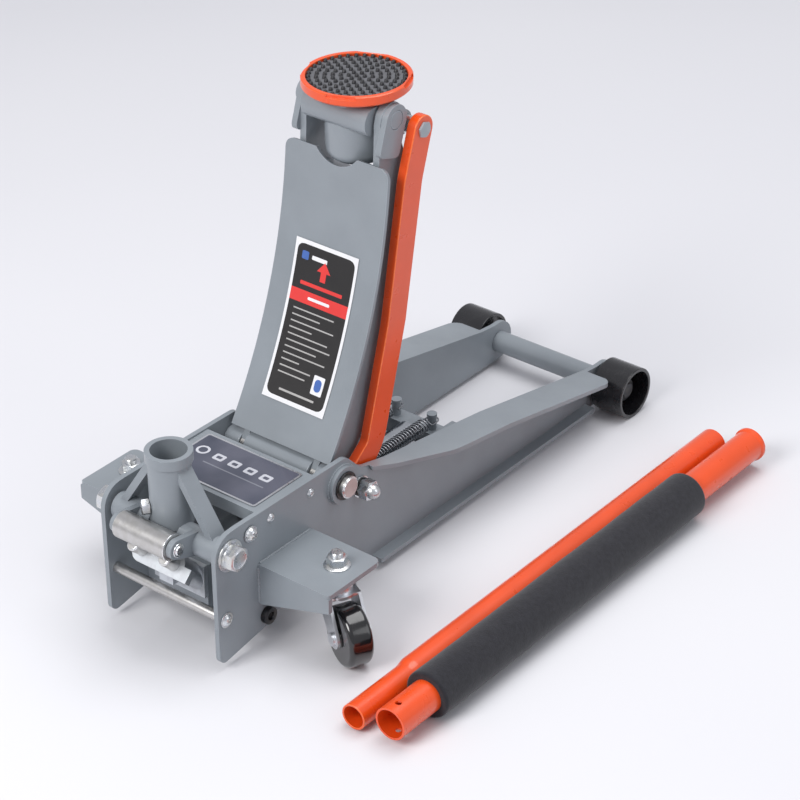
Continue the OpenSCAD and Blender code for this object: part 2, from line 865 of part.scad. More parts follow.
module caster_fork(turn) {
  axle = [caster_trail, caster_r];
  color(zinc) at_caster(turn) {
    difference() {
      union() {
        translate([0, 0, 62.6]) cylinder(h = 3, r = 17.5);
        translate([-15, -16.6, 62.6]) cube([30, 33.2, 3]);
        translate([0, 0, 65.5]) cylinder(h = 6.7, r = 14);
        both() plate(13.6, 16.6) {
          polygon([[-15, 65.5], [15, 65.5], [axle.x + 9.2, axle.y + 3], [axle.x - 8, axle.y - 5]]);
          translate(axle) circle(9.5);
        }
      }
      cylinder(h = 90, r = king_r + run);
      bar(axle, -30, 30, 4 + run);
    }
    bar(axle, -19, 19, 4);
    both() bar(axle, 16.65, 19.2, 6.4);
  }
}

module caster_fork_left() { left() caster_fork(-caster_angle); }
module caster_fork_right() { right() caster_fork(caster_angle); }

module caster_wheel(turn) {
  half = caster_w / 2;
  round_r = 5;
  profile = [[4 + run, -half - 1.2], [9, -half - 1.2], [9, -half], [18, -half],
    each [for (a = [-90 : 15 : 0]) [caster_r - round_r + round_r * cos(a), -half + round_r
      + round_r * sin(a)]],
    each [for (a = [0 : 15 : 90]) [caster_r - round_r + round_r * cos(a), half - round_r
      + round_r * sin(a)]],
    [18, half], [9, half], [9, half + 1.2], [4 + run, half + 1.2]];
  color(black) at_caster(turn) translate([caster_trail, 0, caster_r])
    rotate([90, 0, 0]) rotate_extrude() polygon(profile);
}

module caster_wheel_left() { left() caster_wheel(-caster_angle); }
module caster_wheel_right() { right() caster_wheel(caster_angle); }

// ---- Front rollers ----

module front_wheel() {
  inner = 74.6;
  wall = 3.8;
  color(black) translate([front_axle_at.x, inner, front_axle_at.y]) rotate([-90, 0, 0])
    difference() {
      union() {
        difference() {
          cylinder(h = roller_w, r = roller_d / 2);
          translate([0, 0, -1]) cylinder(h = roller_w + 2, r = roller_d / 2 - wall);
        }
        translate([0, 0, 4]) cylinder(h = 8, r = roller_d / 2 - wall + 0.5);
        cylinder(h = 23.6, r = 13);
      }
      translate([0, 0, -1]) cylinder(h = roller_w, r = front_axle_r + run);
    }
}

module front_wheel_left() { left() front_wheel(); }
module front_wheel_right() { right() front_wheel(); }

// ---- Pump handle ----

// Tube along X as a turned profile of [x, outer radius, inner radius]
module turned_tube(at, steps) {
  translate([0, at.x, at.y]) rotate([0, 90, 0]) rotate_extrude() polygon([
    for (s = steps) [s[1], s[0]], for (i = [len(steps) - 1 : -1 : 0]) [steps[i][2], steps[i][0]]]);
}

module handle_lower() {
  r = lower_tube_d / 2;
  color(orange) turned_tube(lower_at, [[-166, 12.75, 10.75], [-93, 12.75, 10.75],
    [-83, r, r - 2], [407, r, r - 2]]);
}

module handle_upper() {
  r = upper_tube_d / 2;
  color(orange) difference() {
    turned_tube(upper_at, [[-162, r, r - 2], [411, r, r - 2], [413, r + 1.6, r - 2],
      [416, r + 1.6, r - 1]]);
    translate([-150, upper_at.x, upper_at.y - 30]) cylinder(h = 60, r = 3);
  }
}

module handle_grip() {
  r = grip_d / 2;
  color("#3a3a3d") turned_tube(upper_at, [[-111, r - 2.5, upper_tube_d / 2 + 0.05],
    [-108.5, r, upper_tube_d / 2 + 0.05], [297.5, r, upper_tube_d / 2 + 0.05],
    [300, r - 2.5, upper_tube_d / 2 + 0.05]]);
}

placed() side_plate_left();
placed() side_plate_right();
placed() caster_bracket_left();
placed() caster_bracket_right();
placed() rear_cover_plate();
placed() cover_nameplate();
placed() cover_fasteners();
placed() rear_tie_rod();
placed() front_axle();
placed() axle_spacer_tube();
placed() main_pivot_shaft();
placed() pivot_clips();
placed() link_anchor_bolt();
placed() socket_pivot_bolts();
placed() unit_mount_bolts();
placed() caster_kingpins();
placed() pump_block();
placed() cylinder_base();
placed() reservoir_tube();
placed() cylinder_barrel();
placed() cylinder_gland();
placed() spring_anchor_plate();
placed() filler_plug();
placed() valve_plugs();
placed() return_spring_left();
placed() return_spring_right();
placed() release_valve();
placed() plunger_rods();
placed() plunger_springs();
placed() ram_rod();
placed() piston_seal();
placed() crosshead();
placed() drag_bars();
placed() arm_cover();
placed() arm_side_left();
placed() arm_side_right();
placed() arm_hub();
placed() arm_stiffener();
placed() crank_pins();
placed() arm_label();
placed() saddle_pivot_pins();
placed() parallel_link();
placed() saddle_bracket();
placed() link_top_bolt();
placed() saddle();
placed() saddle_pad();
placed() saddle_retainer();
placed() handle_socket();
placed() socket_lock_screw();
placed() roller_pin();
placed() pump_roller();
placed() caster_fork_left();
placed() caster_fork_right();
placed() caster_wheel_left();
placed() caster_wheel_right();
placed() front_wheel_left();
placed() front_wheel_right();
placed() handle_lower();
placed() handle_upper();
placed() handle_grip();
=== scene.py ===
"""The looks of a hydraulic floor jack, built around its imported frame. Lengths are in metres."""
import json
import math

import bmesh
import bpy
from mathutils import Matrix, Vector
from mathutils.bvhtree import BVHTree


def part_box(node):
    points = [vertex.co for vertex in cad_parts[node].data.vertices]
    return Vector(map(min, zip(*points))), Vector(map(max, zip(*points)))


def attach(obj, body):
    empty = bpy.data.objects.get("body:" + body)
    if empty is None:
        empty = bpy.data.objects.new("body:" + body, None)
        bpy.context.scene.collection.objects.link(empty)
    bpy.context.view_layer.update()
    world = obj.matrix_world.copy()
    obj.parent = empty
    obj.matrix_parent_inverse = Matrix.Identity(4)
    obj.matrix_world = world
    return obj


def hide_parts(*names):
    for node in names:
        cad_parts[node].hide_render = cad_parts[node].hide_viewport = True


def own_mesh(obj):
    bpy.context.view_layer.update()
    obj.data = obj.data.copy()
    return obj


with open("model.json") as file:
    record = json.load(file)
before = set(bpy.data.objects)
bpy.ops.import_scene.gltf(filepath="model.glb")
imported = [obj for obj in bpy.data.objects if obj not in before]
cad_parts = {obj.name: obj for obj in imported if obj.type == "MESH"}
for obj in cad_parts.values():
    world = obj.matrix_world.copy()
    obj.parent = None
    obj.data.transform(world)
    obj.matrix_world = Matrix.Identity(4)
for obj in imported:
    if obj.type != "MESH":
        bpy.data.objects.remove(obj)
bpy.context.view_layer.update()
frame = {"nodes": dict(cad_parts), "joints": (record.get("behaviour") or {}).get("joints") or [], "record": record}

NODES = frame["nodes"]
JOINTS = {j["name"]: j for j in frame["joints"]}
BODY = {n: b for b, names in frame["record"]["behaviour"]["bodies"].items() for n in names}
MM = 0.001
UP = Vector((0, 0, 1))
LEFT = Vector((0, 1, 0))
FORWARD = Vector((1, 0, 0))


# ---- Materials ----

class Shader:
    """A material and short calls for the nodes that feed its Principled shader."""

    def __init__(self, name, **sockets):
        self.material = bpy.data.materials.new(name)
        self.material.use_nodes = True
        self.tree = self.material.node_tree
        self.principled = self.tree.nodes["Principled BSDF"]
        for socket, value in sockets.items():
            self.principled.inputs[socket.replace("_", " ")].default_value = value
        self.place = self.tree.nodes.new("ShaderNodeTexCoord").outputs["Object"]

    def link(self, a, b):
        self.tree.links.new(a, b)

    def node(self, kind, **inputs):
        made = self.tree.nodes.new(kind)
        for socket, value in inputs.items():
            made.inputs[socket.replace("_", " ")].default_value = value
        return made

    def noise(self, size, detail=3.0, stretch=(1, 1, 1), rough=0.5):
        """Noise whose patches are about size wide, finer along an axis with a larger stretch."""
        texture = self.node("ShaderNodeTexNoise", Scale=1 / size, Detail=detail, Roughness=rough)
        scaled = self.node("ShaderNodeMapping", Scale=stretch)
        self.link(self.place, scaled.inputs["Vector"])
        self.link(scaled.outputs["Vector"], texture.inputs["Vector"])
        return texture.outputs["Fac"]

    def cells(self, size):
        """Distance to the nearest of scattered points that are about size apart."""
        texture = self.node("ShaderNodeTexVoronoi", Scale=1 / size)
        self.link(self.place, texture.inputs["Vector"])
        return texture.outputs["Distance"]

    def between(self, value, low, high, to_low=0.0, to_high=1.0):
        """Stretches low to high into to_low to to_high, and holds it there."""
        made = self.node("ShaderNodeMapRange")
        made.inputs["From Min"].default_value = low
        made.inputs["From Max"].default_value = high
        made.inputs["To Min"].default_value = to_low
        made.inputs["To Max"].default_value = to_high
        self.link(value, made.inputs["Value"])
        return made.outputs["Result"]

    def blend(self, share, a, b):
        """Colour a where share is 0 and b where it is 1; each is a colour or another output."""
        made = self.tree.nodes.new("ShaderNodeMix")
        made.data_type = "RGBA"
        self.link(share, made.inputs[0])
        for socket, value in ((made.inputs[6], a), (made.inputs[7], b)):
            if isinstance(value, tuple):
                socket.default_value = (*value, 1)
            else:
                self.link(value, socket)
        return made.outputs[2]

    def colour(self, output):
        self.link(output, self.principled.inputs["Base Color"])

    def rough(self, output):
        self.link(output, self.principled.inputs["Roughness"])

    def bump(self, *layers):
        """Each layer is (height output, depth in metres)."""
        below = None
        for height, depth in layers:
            made = self.node("ShaderNodeBump", Strength=1.0, Distance=depth)
            self.link(height, made.inputs["Height"])
            if below:
                self.link(below, made.inputs["Normal"])
            below = made.outputs["Normal"]
        self.link(below, self.principled.inputs["Normal"])


def shade(colour, share):
    """The colour made darker, or lighter where share is above 1."""
    return tuple(c * share for c in colour)


def enamel(name, colour, rough=0.36, chips=0.0, coat=0.25):
    """Sprayed and baked paint: faint clouds, fine dust, orange peel and, on edges, small chips."""
    s = Shader(name, Coat_Weight=coat, Coat_Roughness=0.16, Specular_IOR_Level=0.5)
    clouds = s.between(s.noise(0.055, 4), 0.35, 0.65)
    base = s.blend(clouds, colour, shade(colour, 0.91))
    dust = s.between(s.noise(0.0016, 2), 0.68, 0.78, 0, 0.22)
    base = s.blend(dust, base, tuple(min(1, c * 1.35 + 0.03) for c in colour))
    if chips:
        worn = s.between(s.noise(0.006, 5, rough=0.65), 0.66 - chips, 0.7 - chips)
        base = s.blend(worn, base, tuple(0.55 * c + 0.14 for c in colour))
    s.colour(base)
    s.rough(s.between(s.noise(0.02, 5), 0.3, 0.7, rough - 0.05, rough + 0.08))
    s.bump((s.noise(0.0022, 2), 0.00004), (s.noise(0.03, 2), 0.0002))
    return s.material


def plated(name, colour, tint, rough=0.28, grain=(1, 1, 1)):
    """Zinc plate or bare steel, with a faint tint in patches and fine working marks."""
    s = Shader(name, Metallic=1.0)
    s.colour(s.blend(s.between(s.noise(0.007, 4), 0.4, 0.62), colour, tint))
    s.rough(s.between(s.noise(0.0035, 4, grain), 0.3, 0.7, rough - 0.05, rough + 0.09))
    s.bump((s.noise(0.0009, 3, grain), 0.0000015), (s.noise(0.009, 2), 0.000007))
    return s.material


def moulded(name, colour, rough, texture=0.0006, depth=0.00003, coat=0.0):
    """Moulded plastic or rubber: a fine skin texture and a few dusty scuffs."""
    s = Shader(name, Coat_Weight=coat, Coat_Roughness=0.08, Specular_IOR_Level=0.5)
    scuffs = s.between(s.noise(0.012, 6, (1, 3, 1), 0.7), 0.58, 0.72, 0, 0.3)
    s.colour(s.blend(scuffs, colour, tuple(c + 0.035 for c in colour)))
    s.rough(s.between(s.noise(0.015, 4), 0.3, 0.7, rough - 0.04, rough + 0.1))
    s.bump((s.noise(texture, 3), depth), (s.noise(0.01, 2), 0.00008))
    return s.material


def foam_skin():
    """Closed-cell foam: matte, with a soft mottle and pitted cells whose pits are painted darker as shade."""
    s = Shader("foam_charcoal", Sheen_Weight=0.25, Sheen_Roughness=0.5, Specular_IOR_Level=0.25)
    mottle = s.between(s.noise(0.004, 5), 0.3, 0.7)
    base = s.blend(mottle, (0.0125, 0.0125, 0.0165), (0.0205, 0.0205, 0.0265))
    # Painted shade: the pits of the cells are coloured near black.
    pore_shade = s.between(s.cells(0.0011), 0.12, 0.3)
    s.colour(s.blend(pore_shade, (0.008, 0.008, 0.009), base))
    s.rough(s.between(s.noise(0.01, 3), 0.3, 0.7, 0.82, 0.95))
    s.bump((s.cells(0.0011), 0.00012), (s.noise(0.016, 3), 0.0004))
    return s.material


def printed(name, colour, rough=0.3, coat=0.4):
    """Ink on a glossy label."""
    s = Shader(name, Coat_Weight=coat, Coat_Roughness=0.1)
    s.colour(s.blend(s.between(s.noise(0.02, 4), 0.3, 0.7), colour, shade(colour, 0.93)))
    s.rough(s.between(s.noise(0.006, 4), 0.3, 0.7, rough, rough + 0.12))
    s.bump((s.noise(0.012, 2), 0.00005))
    return s.material


GREY = (0.24, 0.267, 0.293)
ORANGE = (0.78, 0.076, 0.008)
paint = enamel("grey_enamel", GREY)
# The edge materials below go on the rounded-over edges. They are lighter copies of the paint and zinc, a painted
# highlight along every edge; the two paint ones also carry small wear chips.
paint_highlight_chipped_edge = enamel("grey_enamel_highlight_chipped_edge", shade(GREY, 1.28), 0.3, chips=0.03)
orange = enamel("orange_enamel", ORANGE, 0.3, coat=0.4)
orange_highlight_chipped_edge = enamel("orange_enamel_highlight_chipped_edge", (0.88, 0.15, 0.028), 0.26, chips=0.02, coat=0.4)
zinc = plated("bright_zinc", (0.66, 0.68, 0.71), (0.70, 0.70, 0.68), 0.27)
zinc_highlight_edge = plated("bright_zinc_highlight_edge", (0.86, 0.88, 0.90), (0.80, 0.80, 0.78), 0.2)
cast_zinc = plated("cast_zinc", (0.62, 0.65, 0.68), (0.56, 0.58, 0.61), 0.42)
white_zinc = plated("white_zinc", (0.78, 0.80, 0.83), (0.74, 0.76, 0.79), 0.34)
steel = plated("turned_steel", (0.60, 0.59, 0.58), (0.55, 0.54, 0.52), 0.33, (1, 6, 1))
spring_steel = plated("spring_steel", (0.36, 0.37, 0.39), (0.30, 0.31, 0.33), 0.24)
chrome = plated("ground_chrome", (0.52, 0.54, 0.57), (0.48, 0.50, 0.53), 0.16, (8, 1, 1))
black_oxide = plated("black_oxide", (0.055, 0.055, 0.06), (0.09, 0.085, 0.08), 0.34)
roller_black = moulded("satin_black_enamel", (0.010, 0.010, 0.012), 0.24, 0.0016, 0.00003, 0.35)
caster_black = moulded("gloss_black_nylon", (0.006, 0.006, 0.007), 0.13, 0.002, 0.00002, 0.7)
rubber = moulded("moulded_rubber", (0.12, 0.122, 0.133), 0.62, 0.0005, 0.00005)
# The pad's studs: a far darker rubber than the disc, painted shade for the dark spots among the studs.
stud_painted_shade_rubber = moulded("stud_painted_shade_rubber", (0.014, 0.014, 0.017), 0.36, 0.0005, 0.00003)
foam = foam_skin()


# ---- Shapes ----

def spot(joint):
    """Where a joint's axis is, at rest."""
    return Vector(JOINTS[joint]["pos_m"])


def solids(node):
    """(lowest corner, highest corner) of each separate solid in a node."""
    bm = bmesh.new()
    bm.from_mesh(NODES[node].data)
    bmesh.ops.remove_doubles(bm, verts=bm.verts, dist=0.001 * MM)
    found, seen = [], set()
    for start in bm.verts:
        if start in seen:
            continue
        seen.add(start)
        island, front = [], [start]
        while front:
            vert = front.pop()
            island.append(vert.co.copy())
            for edge in vert.link_edges:
                other = edge.other_vert(vert)
                if other not in seen:
                    seen.add(other)
                    front.append(other)
        found.append((Vector(map(min, *island)), Vector(map(max, *island))))
    bm.free()
    return found


def middle(box):
    """Centre of a (lowest corner, highest corner) pair."""
    return (box[0] + box[1]) / 2


def rounded(points, radius, steps=3):
    """The same path with its corners rounded, save those that hardly bend."""
    straight, most = math.radians(176), 0.45
    path = [Vector(p) for p in points]
    made = [path[0]]
    for before, here, after in zip(path, path[1:], path[2:]):
        back, on = before - here, after - here
        if back.angle(on) > straight:
            made.append(here)
            continue
        reach = min(radius / math.tan(back.angle(on) / 2), most * back.length, most * on.length)
        a, b = here + back.normalized() * reach, here + on.normalized() * reach
        for i in range(steps + 1):
            t = i / steps
            made.append(a * (1 - t) ** 2 + here * 2 * t * (1 - t) + b * t ** 2)
    return made + [path[-1]]


class Piece:
    """A mesh made of turned, hexagonal and swept shapes."""

    def __init__(self, name):
        self.name = name
        self.bm = bmesh.new()

    def stack(self, rings, material=0):
        """Joins rings of points, each of one point or of as many as the others."""
        rows = [[self.bm.verts.new(p) for p in ring] for ring in rings]
        for low, high in zip(rows, rows[1:]):
            count = max(len(low), len(high))
            for i in range(count):
                j = (i + 1) % count
                corners = list(dict.fromkeys([low[i % len(low)], low[j % len(low)],
                                              high[j % len(high)], high[i % len(high)]]))
                if len(corners) > 2:
                    self.bm.faces.new(corners).material_index = material

    def ring(self, radius, height, base, axis, steps):
        """Points of a circle around the axis, or its one point on the axis."""
        turn = axis.to_track_quat("Z", "X")
        if radius < 1e-7:
            return [base + axis * height]
        angles = [2 * math.pi * i / steps for i in range(steps)]
        return [base + turn @ Vector((radius * math.cos(a), radius * math.sin(a), height))
                for a in angles]

    def lathe(self, profile, base, axis, round_by=0.0, steps=40, material=0):
        """Turns a profile of (radius, height) about an axis."""
        path = rounded(profile, round_by) if round_by else profile
        self.stack([self.ring(p[0], p[1], base, axis, steps) for p in path], material)

    def washer(self, outer, inner, low, high, base, axis, material=0):
        """Flat ring with softened edges."""
        self.lathe([(inner, low), (outer, low), (outer, high), (inner, high), (inner, low)],
                   base, axis, 0.25 * MM, material=material)

    def hexagon(self, flats, low, high, base, axis, spin=0.0):
        """Head or nut whose top corners are cut back by a cone."""
        steps = 48
        turn = axis.to_track_quat("Z", "X")
        crown = flats / 2 * 0.96

        def points(radius_at, height_at):
            made = []
            for i in range(steps):
                a = 2 * math.pi * i / steps
                r = radius_at(a)
                made.append(base + turn @ Vector((r * math.cos(a + spin), r * math.sin(a + spin),
                                                  height_at(r))))
            return made

        def edge(a):
            return flats / 2 / math.cos(a % (math.pi / 3) - math.pi / 6)

        slope = math.tan(math.radians(30))
        self.stack([[base + axis * low], points(edge, lambda r: low),
                    points(edge, lambda r: high - (r - crown) * slope),
                    points(lambda a: crown, lambda r: high), [base + axis * high]])

    def thread(self, radius, low, high, base, axis):
        """Threaded end with a chamfered tip."""
        pitch = 1.25 * MM
        depth = 0.5 * pitch
        turns = int((high - low - depth) / pitch)
        profile = [(0, low)]
        for i in range(turns):
            profile += [(radius, low + i * pitch), (radius, low + (i + 0.2) * pitch),
                        (radius - depth, low + (i + 0.6) * pitch)]
        profile += [(radius, low + turns * pitch), (radius - depth, high), (0, high)]
        self.lathe(profile, base, axis)

    def cross_head(self, radius, height, base, axis, spin=0.4):
        """Low domed head with a cross recess."""
        rings, steps = 18, 64
        slot_half, slot_reach, depth = 0.13, 0.52, 0.55 * height
        turn = axis.to_track_quat("Z", "X")
        made = []
        for i in range(rings + 1):
            share = i / rings
            row = []
            for k in range(steps if i else 1):
                a = 2 * math.pi * k / steps
                x, y = share * math.cos(a), share * math.sin(a)
                rise = height * (1 - share ** 3.2)
                if min(abs(x), abs(y)) < slot_half and max(abs(x), abs(y)) < slot_reach:
                    rise -= depth * (1 - max(abs(x), abs(y)))
                c, s = radius * math.cos(spin), radius * math.sin(spin)
                row.append(base + turn @ Vector((x * c - y * s, x * s + y * c, rise)))
            made.append(row)
        self.stack(made)

    def sweep(self, path, radius):
        """Round wire along a path of vectors; radius is a number or a list."""
        sides = 8
        side = (path[1] - path[0]).orthogonal().normalized()
        rings = [[path[0]]]
        for i, here in enumerate(path):
            along = (path[min(i + 1, len(path) - 1)] - path[max(i - 1, 0)]).normalized()
            side = (side - along * side.dot(along)).normalized()
            other = along.cross(side)
            r = radius[i] if isinstance(radius, list) else radius
            rings.append([here + r * (math.cos(t) * side + math.sin(t) * other)
                          for t in (2 * math.pi * k / sides for k in range(sides))])
        self.stack(rings + [[path[-1]]])

    def make(self, body, materials, slot, *nodes, sharp=32):
        """Finishes the piece; it rides on body and stands for nodes."""
        bmesh.ops.recalc_face_normals(self.bm, faces=self.bm.faces)
        mesh = bpy.data.meshes.new(self.name)
        self.bm.to_mesh(mesh)
        self.bm.free()
        mesh.shade_smooth()
        mesh.set_sharp_from_angle(angle=math.radians(sharp))
        piece = bpy.data.objects.new(self.name, mesh)
        bpy.context.scene.collection.objects.link(piece)
        for material in materials:
            mesh.materials.append(material)
        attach(piece, body)
        if nodes:
            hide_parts(*nodes)
        return piece


def evaluated(piece):
    """Swaps a piece's mesh for what its modifiers make of it."""
    graph = bpy.context.evaluated_depsgraph_get()
    mesh = bpy.data.meshes.new_from_object(piece.evaluated_get(graph), depsgraph=graph)
    piece.modifiers.clear()
    piece.data = mesh


def finish_node(node, bevel, material, edge, segments=2):
    """A CAD node's own shape with its edges rounded over, which stands for the node."""
    mesh = NODES[node].data.copy()
    mesh.name = node + "_finished"
    bm = bmesh.new()
    bm.from_mesh(mesh)
    bmesh.ops.remove_doubles(bm, verts=bm.verts, dist=0.002 * MM)
    bmesh.ops.dissolve_limit(bm, angle_limit=math.radians(0.6), verts=bm.verts, edges=bm.edges)
    bm.to_mesh(mesh)
    bm.free()
    mesh.materials.clear()
    mesh.materials.append(material)
    mesh.materials.append(edge)
    mesh.polygons.foreach_set("material_index", [0] * len(mesh.polygons))
    mesh.shade_smooth()
    piece = bpy.data.objects.new(node + "_finished", mesh)
    bpy.context.scene.collection.objects.link(piece)
    cut = piece.modifiers.new("edges", "BEVEL")
    cut.width = bevel
    cut.segments = segments
    cut.limit_method = "ANGLE"
    cut.angle_limit = math.radians(34)
    # Bevel faces take the second material; where that is the lighter edge copy, it is a painted highlight along
    # the edges.
    cut.material = 1
    cut.use_clamp_overlap = True
    even = piece.modifiers.new("normals", "WEIGHTED_NORMAL")
    even.keep_sharp = False
    even.weight = 100
    evaluated(piece)
    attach(piece, BODY[node])
    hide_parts(node)


# ---- Plates, castings and tubes: the CAD shapes with their edges rounded over ----

PLATES = ["side_plate_left", "side_plate_right", "caster_bracket_left", "caster_bracket_right",
          "rear_cover_plate", "arm_cover", "arm_side_left", "arm_side_right", "cylinder_base",
          "reservoir_tube", "cylinder_barrel", "crosshead", "drag_bars", "arm_hub", "arm_stiffener",
          "axle_spacer_tube"]
for name in PLATES:
    finish_node(name, 0.8 * MM, paint, paint_highlight_chipped_edge)
for name in ["saddle_bracket", "handle_socket", "saddle_pivot_pins"]:
    finish_node(name, 1.2 * MM, paint, paint_highlight_chipped_edge, 3)
finish_node("parallel_link", 1.0 * MM, orange, orange_highlight_chipped_edge, 3)
finish_node("saddle", 0.9 * MM, orange, orange_highlight_chipped_edge, 3)
for name in ["handle_lower", "handle_upper"]:
    finish_node(name, 0.5 * MM, orange, orange_highlight_chipped_edge)
for name in ["front_wheel_left", "front_wheel_right"]:
    finish_node(name, 0.9 * MM, roller_black, roller_black, 3)
for name in ["caster_wheel_left", "caster_wheel_right"]:
    finish_node(name, 0.5 * MM, caster_black, caster_black)
for name in ["caster_fork_left", "caster_fork_right"]:
    finish_node(name, 0.6 * MM, white_zinc, white_zinc)
for name in ["spring_anchor_plate", "roller_pin", "saddle_retainer"]:
    finish_node(name, 0.6 * MM, zinc, zinc_highlight_edge)
finish_node("pump_block", 0.8 * MM, cast_zinc, zinc_highlight_edge, 3)
finish_node("ram_rod", 0.6 * MM, chrome, chrome)
for name in ["main_pivot_shaft", "cylinder_gland", "release_valve", "plunger_rods", "crank_pins",
             "pump_roller"]:
    finish_node(name, 0.5 * MM, steel, zinc_highlight_edge)
# Black oxide on the front axle makes its ends, set inside the roller hubs, come out dark: painted shade in the
# hubs.
for name in ["pivot_clips", "front_axle"]:
    finish_node(name, 0.4 * MM, black_oxide, black_oxide)
finish_node("piston_seal", 0.4 * MM, rubber, rubber)


# ---- Fasteners ----

def mm(*points):
    """Points written in millimetres."""
    return [tuple(x * MM for x in point) for point in points]


def sided(node):
    """For each solid of a node: its box, and +1 on the left or -1 on the right."""
    centre = middle(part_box("side_plate_left"))[1] + middle(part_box("side_plate_right"))[1]
    return [(box, 1 if middle(box)[1] > centre / 2 else -1) for box in solids(node)]


def cover_fasteners():
    """Large bolts with washers and small screws, all with cross recesses."""
    piece = Piece("cover_screws")
    for (low, high), side in sided("cover_fasteners"):
        radius = (high.x - low.x) / 2
        large = radius > 6 * MM
        head, shank, dome = (5.2 * MM, 4 * MM, 0.86) if large else (2.4 * MM, 2.5 * MM, 0.95)
        inner, outer = (low.y, high.y) if side > 0 else (high.y, low.y)
        start = Vector(((low.x + high.x) / 2, inner, (low.z + high.z) / 2))
        root = abs(outer - inner) - head
        axis = LEFT * side
        piece.lathe([(0, 0), (shank, 0), (shank, root), (0, root)], start, axis, 0.3 * MM)
        if large:
            piece.washer(radius, shank, root - 1.2 * MM, root + 0.2 * MM, start, axis)
        piece.cross_head(radius * dome, head, start + axis * root, axis)
    piece.make("frame", [zinc], "zinc", "cover_fasteners")


def tie_rod():
    """Cross rod with a washer and a domed screw at each end."""
    (low, high), = solids("rear_tie_rod")
    base = Vector(((low.x + high.x) / 2, 0, (low.z + high.z) / 2))
    rod, inset, washer, head = 5 * MM, 2.5 * MM, 1.5 * MM, 3 * MM
    length = high.y - low.y - 2 * inset
    piece = Piece("tie_rod_and_screws")
    piece.lathe([(0, 0), (rod, 0), (rod, length), (0, length)],
                base + LEFT * (low.y + inset), LEFT, 0.3 * MM, material=1)
    for outer, axis in ((low.y, -LEFT), (high.y, LEFT)):
        root = base + LEFT * outer - axis * (washer + head)
        piece.washer(7.5 * MM, rod, 0, washer, root, axis)
        piece.cross_head(6 * MM, head, root + axis * washer, axis, spin=0.2)
    piece.make("frame", [zinc, steel], "zinc", "rear_tie_rod")


def link_anchor():
    """Bolt of the link's lower end, with two washers and a domed nut on the right side."""
    low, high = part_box("link_anchor_bolt")
    base = spot("link_swing")
    base.y = low.y
    axis = -LEFT
    shank, head, head_height, dome = 6 * MM, 9.5 * MM, 2.2 * MM, 7.6 * MM
    back = low.y - high.y
    piece = Piece("link_anchor_nut")
    piece.lathe([(0, back), (head, back), (head, back + head_height), (shank, back + head_height),
                 (shank, -6 * MM), (0, -6 * MM)], base, axis, 0.3 * MM, material=1)
    piece.washer(11 * MM, shank, -23.1 * MM, -20.8 * MM, base, axis)
    piece.washer(9.6 * MM, shank, -20.6 * MM, -18.1 * MM, base, axis, material=1)
    piece.hexagon(18 * MM, -18.1 * MM, -8.2 * MM, base, axis, spin=0.25)
    piece.lathe([(dome, -8.4 * MM)] + [(dome * math.cos(t), 8 * MM * (math.sin(t) - 1))
                                       for t in (math.radians(a) for a in range(0, 91, 15))],
                base, axis)
    piece.make("frame", [zinc, black_oxide], "zinc", "link_anchor_bolt")


def socket_bolts():
    """A bolt on each side with two washers and a chamfered nut."""
    piece = Piece("socket_bolts")
    shank = 7 * MM
    for (low, high), side in sided("socket_pivot_bolts"):
        axis = LEFT * side
        base = spot("socket_pump")
        base.y = high.y if side > 0 else low.y
        back = low.y - high.y
        piece.lathe([(0, back), (shank, back), (shank, -8 * MM), (0, -8 * MM)],
                    base, axis, 0.4 * MM)
        piece.washer(15.5 * MM, shank, -13.2 * MM, -11.3 * MM, base, axis)
        piece.washer(12.4 * MM, shank, -11.2 * MM, -8.8 * MM, base, axis)
        piece.hexagon(22 * MM, -8.8 * MM, -0.6 * MM, base, axis, spin=0.12 * side)
        piece.lathe(mm((0, -0.7), (9.2, -0.7), (8.6, -0.1), (7.8, -0.5), (0, -0.5)), base, axis)
    piece.make("frame", [zinc], "zinc", "socket_pivot_bolts")


def mount_bolts():
    """Round-headed bolts with a recess."""
    piece = Piece("unit_bolts")
    shank = 4 * MM
    for (low, high), side in sided("unit_mount_bolts"):
        axis = LEFT * side
        base = Vector(((low.x + high.x) / 2, high.y if side > 0 else low.y, (low.z + high.z) / 2))
        back = low.y - high.y
        piece.lathe([(0, back), (shank, back), (shank, -5.8 * MM)]
                    + mm((8.5, -5.8), (8.5, 0), (4.2, 0), (3.6, -3), (0, -3.4)),
                    base, axis, 0.7 * MM)
    piece.make("frame", [black_oxide], "black_steel", "unit_mount_bolts")


def kingpins():
    """Each caster's pin with its bearing, conical washer, nut and threaded end."""
    piece = Piece("caster_nuts_and_bearings")
    low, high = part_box("caster_kingpins")
    pin = mm((0, 0), (9, 0), (9, 3.6), (6, 3.6), (6, 34), (0, 34))
    bearing = mm((6, 13.9), (13, 13.9), (16.4, 17), (16.4, 21), (14, 26.3), (6, 26.3))
    washer = mm((6, 31.45), (12.5, 31.45), (12.4, 32.6), (9.6, 33.8), (6, 33.8))
    for side, spin in (("left", 0.9), ("right", 0.3)):
        base = spot("caster_swivel_" + side)
        base.z = low.z
        for profile, round_by in ((pin, 0.5 * MM), (bearing, 1.2 * MM), (washer, 0.3 * MM)):
            piece.lathe(profile, base, UP, round_by)
        piece.hexagon(17 * MM, 33.2 * MM, 41.6 * MM, base, UP, spin)
        piece.thread(5.9 * MM, 40.5 * MM, high.z - low.z, base, UP)
    piece.make("frame", [zinc], "zinc", "caster_kingpins")


